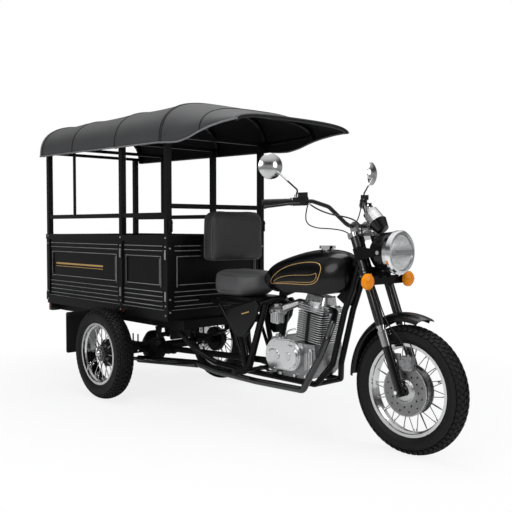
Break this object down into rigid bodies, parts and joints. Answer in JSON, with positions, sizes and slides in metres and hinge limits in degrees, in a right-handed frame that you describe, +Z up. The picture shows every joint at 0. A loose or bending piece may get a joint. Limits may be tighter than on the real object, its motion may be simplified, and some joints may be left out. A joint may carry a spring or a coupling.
{
  "type": "motorized cargo tricycle",
  "caption": "Petrol cargo tricycle: motorcycle fork, tank and open engine in front, roofed open-sided load box with a drop gate on a sprung live axle behind.",
  "frame": {"origin": "on the ground, below the middle of the overall length and width", "axes": "+X forward, +Y to the vehicle's left, +Z up"},
  "size_m": [3.4869, 1.14, 1.945],
  "materials": {
    "frame_black": "satin",
    "panel_black": "satin",
    "gloss_black": "gloss",
    "yoke_black": "satin",
    "engine_alloy": "cast",
    "chrome": "polished",
    "steel_disc": "brushed",
    "tyre": "matte",
    "grip_rubber": "matte",
    "black_plastic": "satin",
    "seat_vinyl": "grained",
    "canopy_vinyl": "matte",
    "amber_lens": "gloss",
    "red_lens": "gloss",
    "clear_lens": "clear"
  },
  "bodies": {
    "chassis": {"main_frame": "frame_black", "rear_chassis": "frame_black", "leaf_springs": "frame_black", "rear_axle": "frame_black", "prop_shaft": "frame_black", "crankcase": "engine_alloy", "engine_covers": "engine_alloy", "cylinder": "engine_alloy", "cylinder_head": "engine_alloy", "carburettor": "engine_alloy", "exhaust": "yoke_black", "foot_controls": "frame_black", "fuel_tank": "gloss_black", "fuel_cap": "chrome", "rider_seat": "seat_vinyl", "backrest": "seat_vinyl", "seat_brackets": "frame_black", "side_covers": "gloss_black", "side_panels": "panel_black", "front_panel": "panel_black", "cargo_floor": "panel_black", "canopy_posts": "frame_black", "canopy_rails": "frame_black", "canopy_bows": "frame_black", "canopy_cover": "canopy_vinyl", "mud_flaps": "grip_rubber", "tail_lamps": "red_lens", "side_reflectors": "amber_lens"},
    "steering": {"fork_legs": "gloss_black", "fork_yokes": "yoke_black", "handlebar": "chrome", "grips": "grip_rubber", "switch_pods": "black_plastic", "control_levers": "black_plastic", "mirrors": "chrome", "headlamp_shell": "gloss_black", "headlamp_rim": "chrome", "headlamp_lens": "clear_lens", "lamp_brackets": "frame_black", "indicators": "amber_lens", "speedometer": "chrome", "front_fender": "gloss_black", "brake_caliper": "engine_alloy", "control_cables": "grip_rubber"},
    "front_wheel_set": {"front_tyre": "tyre", "front_wheel": "chrome", "brake_disc": "steel_disc"},
    "left_wheel_set": {"rear_tyre_left": "tyre", "rear_wheel_left": "chrome"},
    "right_wheel_set": {"rear_tyre_right": "tyre", "rear_wheel_right": "chrome"},
    "gate": {"tailgate": "panel_black"}
  },
  "joints": [
    {"name": "steer", "type": "hinge", "parent": "chassis", "child": "steering", "pos_m": [1.1063, 0, 1.00472], "axis": [-0.3584, 0, 0.9336], "range_deg": [-38, 38]},
    {"name": "front_spin", "type": "hinge", "parent": "steering", "child": "front_wheel_set", "pos_m": [1.4135, 0, 0.33], "axis": [0, 1, 0], "continuous": true},
    {"name": "left_spin", "type": "hinge", "parent": "chassis", "child": "left_wheel_set", "pos_m": [-0.7085, 0.5075, 0.305], "axis": [0, 1, 0], "continuous": true},
    {"name": "right_spin", "type": "hinge", "parent": "chassis", "child": "right_wheel_set", "pos_m": [-0.7085, -0.5075, 0.305], "axis": [0, 1, 0], "continuous": true},
    {"name": "gate_drop", "type": "hinge", "parent": "chassis", "child": "gate", "pos_m": [-1.7345, 0, 0.575], "axis": [0, -1, 0], "range_deg": [0, 180]}
  ]
}
